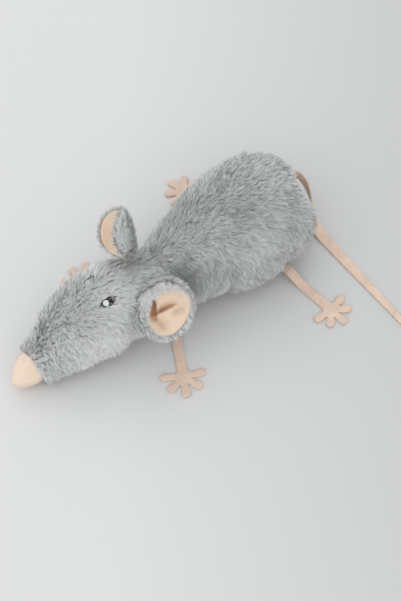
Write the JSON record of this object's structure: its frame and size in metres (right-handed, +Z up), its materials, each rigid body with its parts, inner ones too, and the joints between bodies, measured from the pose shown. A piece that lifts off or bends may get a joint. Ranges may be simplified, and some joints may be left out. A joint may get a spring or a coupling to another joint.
{
  "type": "plush rat",
  "caption": "Plush rat soft toy lying on its belly, grey fur with peach nose, ears, felt limbs and a long felt tail",
  "frame": {"origin": "middle of the flat patch of belly that rests on the floor", "axes": "+X from the nose back to the rump along the body, +Y to the toy's right, +Z up"},
  "size_m": [0.2899, 0.2792, 0.0957],
  "materials": {
    "fur_plush": "long soft pile, blue-grey, brushed back from the nose",
    "fibre_fill": "loose polyester fibre filling",
    "peach_velour": "smooth short-pile velour",
    "peach_felt": "matte die-cut microsuede felt",
    "black_thread": "satin stitch embroidery",
    "white_thread": "satin stitch embroidery"
  },
  "bodies": {
    "body": {"belly_panel": "fur_plush", "body_left_panel": "fur_plush", "body_right_panel": "fur_plush", "body_stuffing": "fibre_fill"},
    "neck": {"neck_stuffing": "fibre_fill"},
    "head": {"chin_panel": "fur_plush", "head_left_panel": "fur_plush", "head_right_panel": "fur_plush", "head_stuffing": "fibre_fill", "nose_cap": "peach_velour", "left_eye": "black_thread", "left_eye_glint": "white_thread", "right_eye": "black_thread", "right_eye_glint": "white_thread"},
    "left_ear": {"left_ear_back": "fur_plush", "left_ear_lining": "peach_velour"},
    "right_ear": {"right_ear_back": "fur_plush", "right_ear_lining": "peach_velour"},
    "front_left_leg": {"front_left_limb": "peach_felt"},
    "front_right_leg": {"front_right_limb": "peach_felt"},
    "hind_left_leg": {"hind_left_limb": "peach_felt"},
    "hind_right_leg": {"hind_right_limb": "peach_felt"},
    "tail_root": {"tail_base": "peach_felt"},
    "tail_end": {"tail_tip": "peach_felt"}
  },
  "joints": [
    {"name": "neck_turn", "type": "hinge", "parent": "body", "child": "neck", "pos_m": [-0.089, 0.003, 0.0285], "axis": [0, 0, 1], "range_deg": [-15, 20], "stiffness_Nm_per_rad": 0.4},
    {"name": "neck_nod", "type": "hinge", "parent": "neck", "child": "head", "pos_m": [-0.089, 0.003, 0.0285], "axis": [0, 1, 0], "range_deg": [0, 18], "stiffness_Nm_per_rad": 0.6},
    {"name": "left_ear_flop", "type": "hinge", "parent": "head", "child": "left_ear", "pos_m": [-0.106, -0.0135, 0.0596], "axis": [-0.8466, -0.3067, -0.435], "range_deg": [-3, 30], "stiffness_Nm_per_rad": 0.02},
    {"name": "right_ear_flop", "type": "hinge", "parent": "head", "child": "right_ear", "pos_m": [-0.0945, 0.014, 0.06], "axis": [0.2091, -0.7491, 0.6286], "range_deg": [-20, 25], "stiffness_Nm_per_rad": 0.02},
    {"name": "front_left_lift", "type": "hinge", "parent": "body", "child": "front_left_leg", "pos_m": [-0.079, -0.0186, 0.0065], "axis": [-0.8863, 0.463, 0], "range_deg": [0, 15]},
    {"name": "front_right_lift", "type": "hinge", "parent": "body", "child": "front_right_leg", "pos_m": [-0.079, 0.026, 0.0065], "axis": [0.5749, 0.8182, 0], "range_deg": [0, 10]},
    {"name": "hind_left_lift", "type": "hinge", "parent": "body", "child": "hind_left_leg", "pos_m": [0.02, -0.037, 0.0065], "axis": [-0.9923, -0.124, 0], "range_deg": [0, 40]},
    {"name": "hind_right_lift", "type": "hinge", "parent": "body", "child": "hind_right_leg", "pos_m": [0.014, 0.042, 0.0065], "axis": [0.9168, 0.3993, 0], "range_deg": [0, 40]},
    {"name": "tail_swing", "type": "hinge", "parent": "body", "child": "tail_root", "pos_m": [0.065, 0.013, 0.042], "axis": [0, 0, 1], "range_deg": [-4, 24]},
    {"name": "tail_lift", "type": "hinge", "parent": "tail_root", "child": "tail_end", "pos_m": [0.065, -0.0465, 0.00095], "axis": [-1, 0, 0], "range_deg": [0, 50]}
  ]
}
